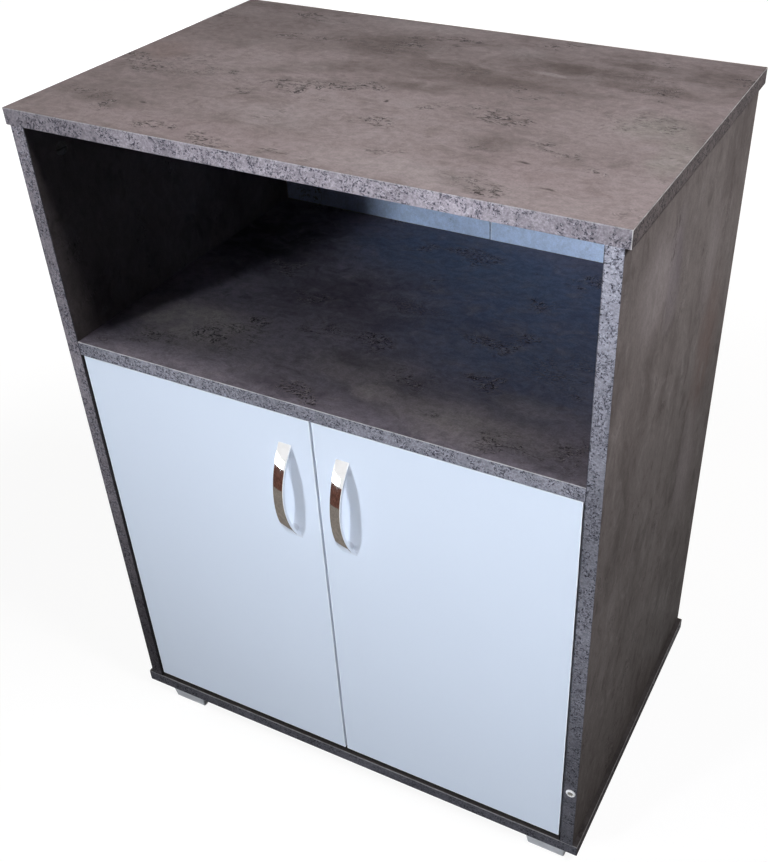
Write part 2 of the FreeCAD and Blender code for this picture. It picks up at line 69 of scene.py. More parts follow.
def calc(tree, what, a, b=0.0, clamp=False):
    return put(tree, "Math", {0: a, 1: b}, operation=what, use_clamp=clamp).outputs[0]


def between(tree, value, low, high, start=0.0, end=1.0):
    made = put(tree, "MapRange", {"Value": value, "From Min": low, "From Max": high,
                                  "To Min": start, "To Max": end}, interpolation_type="SMOOTHSTEP")
    return made.outputs[0]


def blendColour(tree, share, a, b, how="MIX"):
    made = put(tree, "Mix", {0: share}, data_type="RGBA", blend_type=how, clamp_factor=True)
    for slot, value in ((6, a), (7, b)):
        if isinstance(value, bpy.types.NodeSocket):
            tree.links.new(value, made.inputs[slot])
        else:
            made.inputs[slot].default_value = (*value, 1.0)
    return made.outputs[2]


def grain(tree, place, size, detail=4.0, rough=0.55, bend=0.0):
    made = put(tree, "TexNoise", {"Vector": place, "Scale": 1.0 / size, "Detail": detail,
                                  "Roughness": rough, "Distortion": bend})
    return made.outputs["Fac"]


def moved(tree, place, scale=(1, 1, 1), shift=(0, 0, 0)):
    return put(tree, "Mapping", {"Vector": place, "Scale": scale, "Location": shift}).outputs[0]


def added(tree, a, b):
    return put(tree, "VectorMath", {0: a, 1: b}, operation="ADD").outputs[0]


def ramp(tree, value, stops):
    # straight lines between (place, level) stops, levels up to 2
    made = put(tree, "ValToRGB", {0: value})
    elements = made.color_ramp.elements
    while len(elements) < len(stops):
        elements.new(0.5)
    for element, (place, level) in zip(elements, stops):
        element.position = place
        element.color = (level / 2, level / 2, level / 2, 1.0)
    return calc(tree, "MULTIPLY", made.outputs[0], 2.0)


def finishMaterial(made, colour, rough, height, spec):
    tree = made.node_tree
    shader = put(tree, "BsdfPrincipled", {"Base Color": colour, "Roughness": rough,
                                          "Metallic": spec.get("metal", 0.0),
                                          "IOR": spec.get("ior", 1.45),
                                          "Specular IOR Level": spec.get("gloss", 0.3)})
    bump = put(tree, "Bump", {"Strength": spec.get("bump", 0.3), "Distance": spec.get("relief", 0.0003),
                              "Height": height})
    tree.links.new(bump.outputs[0], shader.inputs["Normal"])
    out = put(tree, "OutputMaterial")
    tree.links.new(shader.outputs[0], out.inputs["Surface"])
    return made


def dress(material, *names):
    for name in names:
        mesh = nodes[name].data
        mesh.materials.clear()
        mesh.materials.append(material)


# concrete laminate; sizes in metres, shares from 0 to 1
# a board may add clouds, crazed areas, dots, fades of painted light and shade, painted shade on its inner
# faces, bare board, end tints, lines and chips
decor = {
    "light": (0.300, 0.252, 0.253),
    "middle": (0.248, 0.206, 0.205),
    "dark": (0.132, 0.106, 0.101),
    "mark": (0.045, 0.037, 0.037),
    "pale": (0.400, 0.358, 0.360),
    "stretch": (1, 1, 1), "shift": (0, 0, 0), "wobbleScale": 22.0, "wobble": 0.030,
    "cloudSize": 0.17, "cloud": (0.34, 0.62), "tone": (0.52, 0.74), "toneShare": 0.6,
    "patchSize": 0.04, "patch": 0.36, "darkPatch": (0.52, 0.68), "palePatch": (0.44, 0.30), "paleShare": 0.2,
    "whereSize": 0.07, "whereLow": 0.575, "whereStep": 0.09,
    "strokeSize": 0.010, "strokeWidth": 0.06, "stroke": 0.85, "strokeStretch": (1.0, 1.5, 1.0),
    # the glint settings paint a highlight beside each stroke, offset by the glint shift
    "paintedGlint": 0.45, "paintedGlintShift": (0.0007, -0.0006, -0.0007), "smudge": (0.52, 0.66), "smudgeShare": 0.7,
    "pitSize": 0.0046, "pitLevel": 0.755, "pitDrop": 0.11, "pitEdge": 14.0, "pitStretch": (1.0, 1.3, 1.0),
    "mottleSize": 0.009, "mottle": 0.14, "fineSize": 0.0020, "fine": 0.11, "fineRelief": 0.4,
    "rough": 0.62, "smoother": 0.06, "rougher": 0.08, "gloss": 0.06, "bump": 0.25,
}
# each layer reads its own part of the noise, so that no two line up
apart = {
    "tone": (3.1, 1.7, 5.3), "patch": (7.3, 2.2, 1.9), "where": (0.7, 9.1, 4.4), "gaps": (4.4, 8.1, 0.6),
    "smudge": (6.0, 1.0, 3.0), "pit": (5.5, 0.4, 2.0), "mottle": (1.9, 6.6, 7.7),
}
# an oval spot reaches this far across the face, and is at full strength in its core
spot = {"depth": 0.05, "core": 0.2}


def spotMask(tree, place, oval):
    # 1 in the middle of an oval, 0 outside it
    local = put(tree, "Mapping", {"Vector": place, "Location": oval["at"], "Scale": oval["size"]},
                vector_type="TEXTURE").outputs[0]
    far = put(tree, "VectorMath", {0: local}, operation="LENGTH").outputs["Value"]
    return between(tree, far, oval.get("core", spot["core"]), 1.0, oval.get("strength", 1.0), 0.0)


def nearPlane(tree, split, plane, width):
    # 1 within width of a plane given as (axis, place)
    far = calc(tree, "ABSOLUTE", calc(tree, "SUBTRACT", split.outputs[plane[0]], plane[1]))
    return between(tree, far, width * 0.6, width, 1.0, 0.0)


def paintedEdgeLines(tree, here, colour, lines):
    # lines where two planes meet, or along one plane; the pale ones are painted highlights where an eased
    # edge catches the light
    split = put(tree, "SeparateXYZ", {0: here})
    uneven = between(tree, grain(tree, here, 0.012, 3, 0.6), 0.35, 0.6, 0.55, 1.0)
    for line in lines:
        share = calc(tree, "MULTIPLY", uneven, line["strength"])
        for plane in line["planes"]:
            share = calc(tree, "MULTIPLY", share, nearPlane(tree, split, plane, line["width"]))
        colour = blendColour(tree, share, colour, line["colour"])
    return colour


def inkStrokes(tree, place, own):
    # short dark strokes: thin contours of one noise, broken up by another
    size, width = own["strokeSize"], own["strokeWidth"]
    place = moved(tree, place, own["strokeStretch"])
    offLine = calc(tree, "ABSOLUTE", calc(tree, "SUBTRACT", grain(tree, place, size, 3, 0.62, 0.9), 0.5))
    contour = between(tree, offLine, width * 0.35, width, 1.0, 0.0)
    gaps = grain(tree, moved(tree, place, shift=apart["gaps"]), size * 0.8, 2, 0.5)
    return calc(tree, "MULTIPLY", contour, between(tree, gaps, 0.47, 0.56))


def wobbled(tree, place, own):
    # a slow offset that keeps clouds and strokes from looking mechanical
    noise = put(tree, "TexNoise", {"Vector": place, "Scale": own["wobbleScale"], "Detail": 4.0})
    offset = put(tree, "VectorMath", {0: noise.outputs["Color"], 1: (0.5, 0.5, 0.5)}, operation="SUBTRACT")
    offset = put(tree, "VectorMath", {0: offset.outputs[0], "Scale": own["wobble"]}, operation="SCALE")
    return offset.outputs[0]


def cloudLayers(tree, place, bent, patch, own):
    cloud = grain(tree, bent, own["cloudSize"], 5, 0.55)
    colour = blendColour(tree, between(tree, cloud, *own["cloud"]), own["middle"], own["light"])
    tone = grain(tree, moved(tree, place, shift=apart["tone"]), own["cloudSize"] * 0.6, 4)
    colour = blendColour(tree, between(tree, tone, *own["tone"], 0.0, own["toneShare"]), colour, own["dark"])
    brushed = between(tree, patch, *own["darkPatch"], 0.0, own["patch"])
    colour = blendColour(tree, brushed, colour, own["dark"])
    rubbed = between(tree, patch, *own["palePatch"], 0.0, own["paleShare"])
    return blendColour(tree, rubbed, colour, own["pale"])


def placedClouds(tree, loose, patch, colour, own):
    # clouds with a place of their own, ragged at their rims
    ragged = between(tree, patch, 0.30, 0.58, 0.45, 1.0)
    for cloud in own.get("clouds", []):
        share = calc(tree, "MULTIPLY", spotMask(tree, loose, cloud), ragged)
        colour = blendColour(tree, share, colour, own[cloud["tone"]])
    return colour


def crazedArea(tree, place, loose, patch, own):
    # where strokes and pits gather
    where = grain(tree, moved(tree, place, shift=apart["where"]), own["whereSize"], 3, 0.5)
    where = between(tree, where, own["whereLow"], own["whereLow"] + own["whereStep"])
    broken = between(tree, patch, 0.43, 0.57, 0.1, 1.0)
    for area in own.get("crazed", []):
        where = calc(tree, "MAXIMUM", where, calc(tree, "MULTIPLY", spotMask(tree, loose, area), broken))
    return where


def shadeInnerFaces(tree, split, colour, paintedInsideShade):
    # painted shade: darker on the inner faces than on the outer ones
    edge, leftShade, rightShade = paintedInsideShade
    tint = blendColour(tree, between(tree, split.outputs[0], -0.01, 0.01), leftShade, rightShade)
    far = calc(tree, "ABSOLUTE", split.outputs[0])
    inside = between(tree, far, abs(edge) + 0.0002, abs(edge) + 0.0012, 1.0, 0.0)
    return blendColour(tree, inside, colour, tint, "MULTIPLY")


def bareBoard(tree, here, split, colour, bare):
    # raw board where no laminate covers it
    chips = grain(tree, moved(tree, here, bare["stretch"]), bare["size"], 4, 0.7)
    raw = blendColour(tree, between(tree, chips, 0.36, 0.64), bare["second"], bare["colour"])
    behind = between(tree, split.outputs[1], bare["from"] - 0.0001, bare["from"] + 0.0001)
    return blendColour(tree, behind, colour, raw)


def concrete(name, spec):
    made = newMaterial(name)
    tree = made.node_tree
    own = {**decor, **spec}
    here = put(tree, "TexCoord").outputs["Object"]
    place = moved(tree, here, own["stretch"], own["shift"])
    offset = wobbled(tree, place, own)
    bent = added(tree, place, offset)  # for the print
    loose = added(tree, here, offset)  # for what has its own place on the board
    split = put(tree, "SeparateXYZ", {0: here})

    patch = grain(tree, moved(tree, bent, shift=apart["patch"]), own["patchSize"], 6, 0.66, 0.5)
    colour = cloudLayers(tree, place, bent, patch, own)
    colour = placedClouds(tree, loose, patch, colour, own)

    # strokes, each with a painted highlight beside it where its relief catches the light, on a smudged ground
    where = crazedArea(tree, place, loose, patch, own)
    stroke = calc(tree, "MULTIPLY", inkStrokes(tree, bent, own), where)
    lit = moved(tree, bent, shift=own["paintedGlintShift"])
    paintedGlint = calc(tree, "MULTIPLY", inkStrokes(tree, lit, own), where)
    colour = blendColour(tree, calc(tree, "MULTIPLY", paintedGlint, own["paintedGlint"]), colour, own["pale"])
    smudge = grain(tree, moved(tree, bent, shift=apart["smudge"]), own["strokeSize"] * 0.9, 4, 0.65, 0.4)
    smudge = calc(tree, "MULTIPLY", between(tree, smudge, *own["smudge"], 0.0, own["smudgeShare"]), where)
    colour = blendColour(tree, smudge, colour, own["dark"])
    colour = blendColour(tree, calc(tree, "MULTIPLY", stroke, own["stroke"]), colour, own["mark"])

    # pinholes, a few everywhere and more where the board is crazed
    pit = grain(tree, moved(tree, place, own["pitStretch"], apart["pit"]), own["pitSize"], 2, 0.5)
    level = between(tree, where, 0.0, 1.0, own["pitLevel"], own["pitLevel"] - own["pitDrop"])
    pitShare = calc(tree, "MULTIPLY", calc(tree, "SUBTRACT", pit, level), own["pitEdge"], True)
    colour = blendColour(tree, pitShare, colour, own["mark"])
    for dot in own.get("dots", []):
        colour = blendColour(tree, spotMask(tree, loose, dot), colour, own["mark"])

    # mottling, the fine printed grain and slow fades along the board; the fades are painted light and shade
    mottle = grain(tree, moved(tree, bent, shift=apart["mottle"]), own["mottleSize"], 5, 0.68)
    lift = between(tree, mottle, 0.3, 0.7, 1.0 - own["mottle"], 1.0 + own["mottle"])
    fine = grain(tree, place, own["fineSize"], 3, 0.7)
    lift = calc(tree, "MULTIPLY", lift, between(tree, fine, 0.25, 0.75, 1.0 - own["fine"], 1.0 + own["fine"]))
    for axis, start, stops in own.get("paintedLightFades", []):
        along = calc(tree, "ADD", split.outputs[axis], start)  # start brings the board within 0 to 1
        lift = calc(tree, "MULTIPLY", lift, ramp(tree, along, stops))
    # painted shade on the inner faces
    if "paintedInsideShade" in own:
        colour = shadeInnerFaces(tree, split, colour, own["paintedInsideShade"])
    colour = put(tree, "HueSaturation", {"Color": colour, "Value": lift}).outputs[0]

    # what isn't printed: raw edges, end tints and chips, and painted highlights along the arrises
    if "bare" in own:
        colour = bareBoard(tree, here, split, colour, own["bare"])
    for plane, width, tint in own.get("ends", []):
        colour = blendColour(tree, nearPlane(tree, split, plane, width), colour, tint, "MULTIPLY")
    colour = paintedEdgeLines(tree, here, colour, own.get("lines", []))
    for chip in own.get("chips", []):
        share = calc(tree, "MULTIPLY", spotMask(tree, loose, chip), between(tree, smudge, 0.0, 0.2, 0.7, 1.0))
        colour = blendColour(tree, share, colour, chip["tone"])

    # strokes and pits are hollows
    grainHeight = calc(tree, "MULTIPLY", fine, own["fineRelief"])
    height = calc(tree, "SUBTRACT", grainHeight, calc(tree, "ADD", stroke, pitShare))
    rough = between(tree, patch, 0.3, 0.7, own["rough"] - own["smoother"], own["rough"] + own["rougher"])
    return finishMaterial(made, colour, rough, height, own)


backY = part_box("top_panel")[1].y
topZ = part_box("top_panel")[1].z
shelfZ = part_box("middle_shelf")[1].z
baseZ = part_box("bottom_panel")[1].z
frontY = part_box("top_edge_bands")[0].y
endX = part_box("top_edge_bands")[1].x
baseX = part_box("bottom_edge_bands")[1].x
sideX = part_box("right_side_panel")[1].x
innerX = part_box("left_side_panel")[1].x
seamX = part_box("back_board_left")[1].x
faces = {"top": (2, topZ), "side": (0, sideX), "shelf": (2, shelfZ)}


def spots(face, *rows):
    # each row in millimetres: middle, half sizes and strength, then tone and core where they matter
    axis, level = faces[face]
    made = []
    for a, b, halfA, halfB, strength, *rest in rows:
        at, size = [a / 1000, b / 1000], [halfA / 1000, halfB / 1000]
        at.insert(axis, level)
        size.insert(axis, spot["depth"])
        oval = {"at": at, "size": size, "strength": strength}
        oval.update(zip(("tone", "core"), rest))
        made.append(oval)
    return made


chipboard = {"from": backY - 0.0006, "colour": (0.56, 0.43, 0.28), "second": (0.36, 0.25, 0.15),
             "size": 0.004, "stretch": (0.6, 1.0, 1.0)}
hardboard = {"from": backY + 0.0018, "colour": (0.48, 0.33, 0.21), "second": (0.37, 0.25, 0.155),
             "size": 0.003, "stretch": (1.0, 1.0, 1.0)}
topBoard = concrete("concrete top", {
    "bare": chipboard,
    "rust": (0.20, 0.145, 0.135), "mauve": (0.330, 0.270, 0.275), "greenish": (0.300, 0.285, 0.262),
    "stretch": (1.0, 1.4, 1.0), "strokeWidth": 0.082, "stroke": 0.92, "paintedGlint": 0.55,
    "clouds": spots(
        "top",
        (-232, -132, 60, 26, 0.6, "dark"), (-275, 10, 50, 45, 0.6, "rust"),
        (-170, 130, 150, 90, 0.15, "dark", 0.4), (60, 110, 260, 100, 0.30, "dark", 0.3),
        (150, 100, 44, 26, 0.5, "dark"), (95, 142, 50, 22, 0.4, "dark"), (-90, -75, 40, 22, 0.35, "dark"),
        (-65, 114, 70, 55, 0.75, "dark"), (30, 84, 62, 24, 0.85, "dark"), (85, 60, 70, 26, 0.85, "dark"),
        (17, 15, 50, 22, 0.75, "dark"), (150, 126, 90, 22, 0.95, "dark"), (193, 159, 50, 18, 0.8, "dark"),
        (222, 98, 80, 18, 0.75, "dark"), (262, 150, 60, 40, 0.6, "dark"), (150, 60, 60, 20, 0.5, "dark"),
        (139, -84, 34, 20, 0.7, "dark"), (148, -120, 24, 18, 0.6, "dark"), (152, -163, 38, 22, 0.75, "dark"),
        (225, -155, 26, 8, 0.6, "dark"), (216, -94, 24, 12, 0.5, "dark"), (-65, 190, 100, 22, 0.45, "pale"),
        (72, 150, 40, 24, 0.4, "pale"), (120, 100, 24, 7, 0.8, "pale", 0.5), (15, 50, 110, 60, 0.4, "dark"),
        (175, -168, 56, 24, 0.5, "dark"), (150, -62, 60, 40, 0.35, "dark"), (110, 100, 120, 50, 0.3, "dark"),
        (205, -132, 30, 18, 0.45, "dark"), (120, -165, 170, 30, 0.35, "pale"),
        (-60, -110, 70, 40, 0.3, "pale"), (-120, -165, 190, 30, 0.5, "mauve"),
        (200, -130, 90, 60, 0.5, "mauve"), (262, 5, 50, 44, 0.55, "greenish"),
        (292, -50, 26, 60, 0.6, "greenish")),
    "crazed": spots(
        "top",
        (-215, -20, 70, 46, 0.9), (-130, -60, 22, 14, 1.0), (-45, -55, 30, 24, 0.8), (250, 10, 60, 44, 0.9),
        (290, -45, 22, 34, 1.0), (299, -94, 18, 12, 1.0), (84, 184, 26, 16, 1.0), (135, -90, 34, 18, 0.8),
        (152, -160, 34, 22, 0.8), (126, 6, 30, 12, 0.8), (-70, -100, 26, 30, 0.6), (-240, -130, 40, 30, 0.6),
        (-60, 110, 60, 30, 0.6), (30, 80, 60, 24, 0.6), (220, 130, 70, 40, 0.6)),
    "dots": spots(
        "top",
        (11, -27, 4, 3, 0.9), (235, 92, 3, 3, 1.0), (181, -106, 9, 3, 0.8), (224, -152, 8, 3, 0.7),
        (-122, -69, 7, 3, 0.8), (-194, -123, 6, 3, 0.7)),
    # painted light and shade: the top darkens to the left and towards the back
    "paintedLightFades": [(0, 0.5, [(0.19, 0.90), (0.5, 0.98), (0.81, 1.02)]),
              (1, 0.5, [(0.31, 1.06), (0.40, 0.98), (0.46, 0.95), (0.54, 0.91), (0.60, 0.83), (0.64, 0.75),
                        (0.70, 0.70)])],
})
sideBoard = concrete("concrete sides", {
    "bare": chipboard,
    "light": (0.222, 0.197, 0.190), "middle": (0.182, 0.159, 0.153), "dark": (0.100, 0.084, 0.080),
    "lilac": (0.21, 0.185, 0.20), "rust": (0.22, 0.165, 0.150),
    "stretch": (1.0, 1.35, 0.85), "shift": (0.3, 1.1, 0.2), "patchSize": 0.03, "patch": 0.42, "mottle": 0.10,
    "strokeSize": 0.012, "stroke": 0.45, "whereLow": 0.60, "gloss": 0.02,
    "clouds": spots(
        "side",
        (-40, 690, 34, 80, 0.75, "lilac"), (130, 520, 60, 120, 0.7, "rust"), (-90, 600, 26, 80, 0.5, "dark"),
        (-30, 560, 22, 70, 0.5, "dark"), (-130, 470, 30, 80, 0.5, "dark"), (60, 380, 60, 90, 0.4, "dark"),
        (100, 640, 40, 90, 0.35, "pale"), (110, 370, 50, 110, 0.5, "pale"), (-90, 700, 70, 70, 0.6, "pale"),
        (-140, 420, 60, 70, 0.4, "dark"), (-60, 320, 80, 120, 0.4, "dark")),
    # painted shade: the sides darken towards the bottom
    "paintedLightFades": [(2, 0.0, [(0.03, 0.43), (0.12, 0.54), (0.25, 0.68), (0.33, 0.74), (0.45, 0.80), (0.50, 0.86),
                        (0.57, 1.04), (0.66, 1.12), (0.79, 1.05)])],
    # painted shade on the inner faces, darkest on the left one in the niche
    "paintedInsideShade": (innerX, (0.44, 0.44, 0.46), (0.78, 0.76, 0.78)),
})
flatBoard = concrete("concrete shelves", {
    "bare": chipboard,
    # the bluish cast of these tones is painted window light
    "light": (0.224, 0.202, 0.240), "middle": (0.170, 0.152, 0.186), "dark": (0.080, 0.071, 0.090),
    "mark": (0.024, 0.021, 0.026), "paintedBlueLight": (0.112, 0.146, 0.235), "paintedDimBlueLight": (0.115, 0.150, 0.225),
    "paintedShadow": (0.040, 0.036, 0.040),
    "stretch": (1.0, 1.3, 1.0), "shift": (1.3, 0.6, 2.2), "patchSize": 0.03, "patch": 0.45,
    "whereLow": 0.58, "strokeSize": 0.0060, "strokeWidth": 0.10, "stroke": 0.95, "paintedGlint": 0.65,
    "pitSize": 0.0042, "pitLevel": 0.74, "mottle": 0.17, "fine": 0.16,
    # painted light and shade: the two bluish ovals at the back are painted window light, the near-black oval
    # at the left back is a painted shadow of the left side, and the large pale ovals at the front left and
    # front right are painted light
    "clouds": spots(
        "shelf",
        (150, -150, 130, 40, 0.7, "pale"), (10, -110, 80, 40, 0.5, "pale"),
        (180, 40, 270, 190, 0.85, "paintedBlueLight", 0.35), (0, 150, 230, 105, 0.85, "paintedDimBlueLight", 0.3),
        (-70, 0, 140, 80, 0.55, "dark"),
        (-235, 110, 120, 130, 0.85, "paintedShadow", 0.3), (-200, -105, 110, 62, 1.0, "pale"),
        (45, -140, 40, 18, 0.7, "pale"), (0, -100, 50, 26, 0.6, "dark"), (-40, -170, 90, 16, 0.6, "dark"),
        (100, 10, 70, 30, 0.3, "dark"), (-90, 20, 70, 60, 0.35, "dark"), (190, -100, 60, 24, 0.4, "pale")),
    "crazed": spots(
        "shelf",
        (-150, -110, 70, 50, 0.95), (-60, -60, 50, 30, 0.9), (60, -110, 50, 40, 0.9),
        (200, -165, 60, 30, 1.0), (262, -150, 36, 40, 1.0), (200, -30, 60, 50, 0.7),
        (-220, -150, 50, 30, 0.9), (0, 20, 60, 40, 0.6)),
    # painted light: the shelf lightens towards its right end
    "paintedLightFades": [(0, 0.5, [(0.2, 1.0), (0.33, 1.07), (0.45, 1.0), (0.7, 1.0), (0.8, 1.15)])],
})


# a painted highlight along an arris, where the eased edge catches the light
def arris(first, second, strength=0.7, width=0.0009):
    return {"planes": (first, second), "strength": strength, "width": width, "colour": (0.62, 0.60, 0.60)}


# painted shade: the bottom board carries the concrete decor darkened to about a quarter, as it lies in shade
# under the doors
shadedBaseBoard = concrete("concrete base painted shade", {
    "bare": chipboard,
    "light": (0.075, 0.067, 0.066), "middle": (0.060, 0.053, 0.052), "dark": (0.035, 0.030, 0.030),
    "pale": (0.10, 0.09, 0.09), "gloss": 0.02,
    "lines": [arris((1, frontY), (2, baseZ), 0.5), arris((0, baseX), (2, baseZ), 0.5)],
})

# edge bands: a crisper, finer print than the boards; each band has its own fade
edging = {
    # the bluish cast of these shared tones is painted cool window light
    "light": (0.318, 0.314, 0.368), "middle": (0.276, 0.272, 0.320), "dark": (0.160, 0.157, 0.190),
    "pale": (0.38, 0.385, 0.450), "mark": (0.046, 0.044, 0.060),
    "cloudSize": 0.05, "cloud": (0.40, 0.60), "mottleSize": 0.0036, "mottle": 0.19,
    "patchSize": 0.009, "patch": 0.30, "paleShare": 0.30, "whereSize": 0.014, "whereLow": 0.40,
    "strokeSize": 0.0044, "strokeWidth": 0.075, "paintedGlint": 0.75, "stroke": 0.85,
    "pitSize": 0.0024, "pitLevel": 0.69, "fine": 0.28, "fineSize": 0.0022, "bump": 0.25,
}
warmEnd = (0.66, 0.62, 0.55)
baseEnd = (0.80, 0.74, 0.68)
# painted shade for the bands' inner faces in the gaps beside the doors
shaded = (0.15, 0.15, 0.17)
untinted = (1, 1, 1)
bands = {
    "top": {
        "light": (0.318, 0.286, 0.322), "middle": (0.276, 0.247, 0.280), "dark": (0.165, 0.147, 0.172),
        "pale": (0.38, 0.350, 0.390),
        "lines": [arris((0, endX), (2, topZ), 0.95), arris((0, -endX), (2, topZ), 0.6),
                  arris((1, frontY), (2, topZ), 0.35), arris((0, endX), (1, frontY), 0.95),
                  arris((0, -endX), (1, frontY), 0.5)],
        "ends": [((0, endX), 0.0004, warmEnd), ((0, -endX), 0.0004, warmEnd)],
        # painted light and shade along the band, brightest a little right of the middle and darker at both
        # ends
        "paintedLightFades": [(0, 0.5, [(0.19, 0.57), (0.30, 0.73), (0.38, 0.98), (0.45, 1.02), (0.60, 1.05),
                            (0.67, 1.32), (0.72, 0.96), (0.76, 0.94), (0.81, 0.72)])],
    },
    "shelf": {
        "lines": [arris((1, frontY), (2, shelfZ), 0.8)],
        # painted shade: the shelf's band is darkened, most at its left end
        "paintedLightFades": [(0, 0.5, [(0.2, 0.56), (0.27, 0.80), (0.33, 0.78), (0.45, 0.68), (0.6, 0.76),
                            (0.78, 0.74)])],
    },
    "bottom": {
        "lines": [arris((1, frontY), (2, baseZ), 0.4, 0.0012), arris((0, baseX), (2, baseZ), 0.4, 0.0012),
                  arris((0, -baseX), (2, baseZ), 0.4, 0.0012)],
        "ends": [((0, baseX), 0.0004, baseEnd), ((0, -baseX), 0.0004, baseEnd)],
        # painted shade: the whole band darkened to 0.3
        "paintedLightFades": [(2, 0.0, [(0.0, 0.30), (1.0, 0.30)])],
        "chips": [{"tone": (0.80, 0.79, 0.78), "at": (baseX, 0.0843, 0.0286), "size": (0.003, 0.007, 0.0026),
                   "core": 0.7}],
    },
    "left side": {
        "light": (0.335, 0.302, 0.340), "middle": (0.290, 0.262, 0.296), "dark": (0.170, 0.152, 0.176),
        # painted shade on the band's inner face, in the gap beside the door
        "paintedInsideShade": (innerX, shaded, untinted),
        # painted shade: the band darkens towards the bottom
        "paintedLightFades": [(2, 0.0, [(0.03, 0.18), (0.11, 0.17), (0.17, 0.23), (0.23, 0.28), (0.29, 0.38),
                            (0.35, 0.48), (0.47, 0.59), (0.53, 0.66), (0.59, 0.54), (0.71, 0.58),
                            (0.77, 0.80)])],
    },
    "right side": {
        # painted shade on the band's inner face, in the gap beside the door
        "paintedInsideShade": (innerX, untinted, shaded),
        # painted shade: the band darkens towards the bottom
        "paintedLightFades": [(2, 0.0, [(0.03, 0.25), (0.10, 0.33), (0.20, 0.36), (0.27, 0.52), (0.33, 0.60),
                            (0.40, 0.57), (0.46, 0.49), (0.55, 0.54), (0.60, 0.76), (0.66, 0.78),
                            (0.71, 1.04), (0.78, 1.06)])],
    },
}
bandFinish = {name: concrete("concrete edging " + name, {**edging, **spec}) for name, spec in bands.items()}

# the thin back boards: their pale bluish tones are painted window light on the concrete decor, and at their
# seam a dark joint line runs beside a painted highlight on one board's edge
windowLitBackBoard = concrete("concrete backs painted window light", {
    "bare": hardboard,
    "light": (0.48, 0.59, 0.80), "middle": (0.43, 0.53, 0.74), "dark": (0.32, 0.40, 0.57),
    "pale": (0.56, 0.67, 0.86), "mark": (0.17, 0.20, 0.27),
    "patchSize": 0.03, "strokeSize": 0.009, "whereLow": 0.56, "mottle": 0.1,
    "lines": [{"planes": ((0, seamX - 0.0008),), "strength": 0.9, "width": 0.0009,
               "colour": (0.10, 0.11, 0.15)},
              # a painted highlight on the board's edge at the seam
              {"planes": ((0, seamX + 0.0010),), "strength": 1.0, "width": 0.0008,
               "colour": (0.80, 0.86, 0.95)}],
})
dress(topBoard, "top_panel")
dress(sideBoard, "left_side_panel", "right_side_panel")
dress(flatBoard, "middle_shelf", "inner_shelf")
dress(shadedBaseBoard, "bottom_panel")
dress(bandFinish["top"], "top_edge_bands")
dress(bandFinish["bottom"], "bottom_edge_bands")
dress(bandFinish["shelf"], "shelf_edge_band", "inner_shelf_edge_band")
dress(bandFinish["left side"], "left_side_edge_band")
dress(bandFinish["right side"], "right_side_edge_band")
dress(windowLitBackBoard, "back_board_left", "back_board_right")
print("stage: concrete boards")

# a painted highlight: a slightly brighter rim runs round each door face
doorRimHighlight = {"width": 0.0016, "strength": 0.7, "colour": (0.85, 0.90, 0.97)}
doorLow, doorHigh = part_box("right_door_edge_bands")
doorEdges = [(0, side * x) for side in (-1, 1) for x in (doorLow.x, doorHigh.x)]
doorEdges += [(2, doorLow.z), (2, doorHigh.z)]
doorHighlightLines = [{"planes": (edge,), **doorRimHighlight} for edge in doorEdges]

# plain finishes: one recipe, many settings
plain = {
    # the bluish cast of the white door and its white edging is painted cool window light
    "white door": {"colour": (0.66, 0.725, 0.845), "second": (0.65, 0.715, 0.835), "size": 0.3, "rough": 0.36,
                   "gloss": 0.2, "bump": 0.04, "grain": 0.0012, "lines": doorHighlightLines,
                   "nodes": ["left_door", "right_door"]},
    "white edging": {"colour": (0.82, 0.86, 0.94), "second": (0.78, 0.82, 0.91), "size": 0.03, "rough": 0.32,
                     "gloss": 0.3, "bump": 0.1, "grain": 0.0012,
                     "nodes": ["left_door_edge_bands", "right_door_edge_bands"]},
    "chrome": {"colour": (0.86, 0.86, 0.87), "second": (0.82, 0.82, 0.83), "size": 0.01, "rough": 0.05,
               "metal": 1.0, "gloss": 0.5, "bump": 0.02, "grain": 0.0008,
               "nodes": []},  # for the bow handles below
    "foot plastic": {"colour": (0.52, 0.53, 0.56), "second": (0.46, 0.47, 0.50), "size": 0.012, "rough": 0.45,
                     "gloss": 0.4, "bump": 0.25, "grain": 0.0007,
                     "nodes": ["foot_front_left", "foot_front_right", "foot_back_left", "foot_back_right"]},
    "washer plastic": {"colour": (0.85, 0.85, 0.86), "second": (0.78, 0.78, 0.80), "size": 0.004,
                       "rough": 0.35, "gloss": 0.4, "bump": 0.1, "grain": 0.0006,
                       "nodes": ["edge_cup_washer"]},
    "beech dowel": {"colour": (0.62, 0.45, 0.27), "second": (0.48, 0.33, 0.18), "size": 0.006, "rough": 0.6,
                    "gloss": 0.3, "bump": 0.4, "grain": 0.0008,
                    "nodes": ["wooden_dowels"]},
    "cast zinc": {"colour": (0.06, 0.057, 0.056), "second": (0.04, 0.038, 0.037), "size": 0.004, "rough": 0.6,
                  "metal": 1.0, "gloss": 0.5, "bump": 0.3, "grain": 0.0006,
                  "nodes": ["cam_housings"]},
    "hinge nickel": {"colour": (0.66, 0.65, 0.63), "second": (0.58, 0.57, 0.55), "size": 0.01, "rough": 0.24,
                     "metal": 1.0, "gloss": 0.5, "bump": 0.12, "grain": 0.0007,
                     "nodes": [name for name in nodes if "_hinge_" in name]},
    "zinc screws": {"colour": (0.60, 0.60, 0.58), "second": (0.50, 0.50, 0.49), "size": 0.004, "rough": 0.32,
                    "metal": 1.0, "gloss": 0.5, "bump": 0.2, "grain": 0.0005,
                    "nodes": ["back_nails", "cam_bolts", "confirmat_screws", "foot_screws", "edge_screw",
                              "plate_screws", "arm_screws", "left_cup_screws", "right_cup_screws",
                              "left_handle_screws", "right_handle_screws", "shelf_pins"]},
}


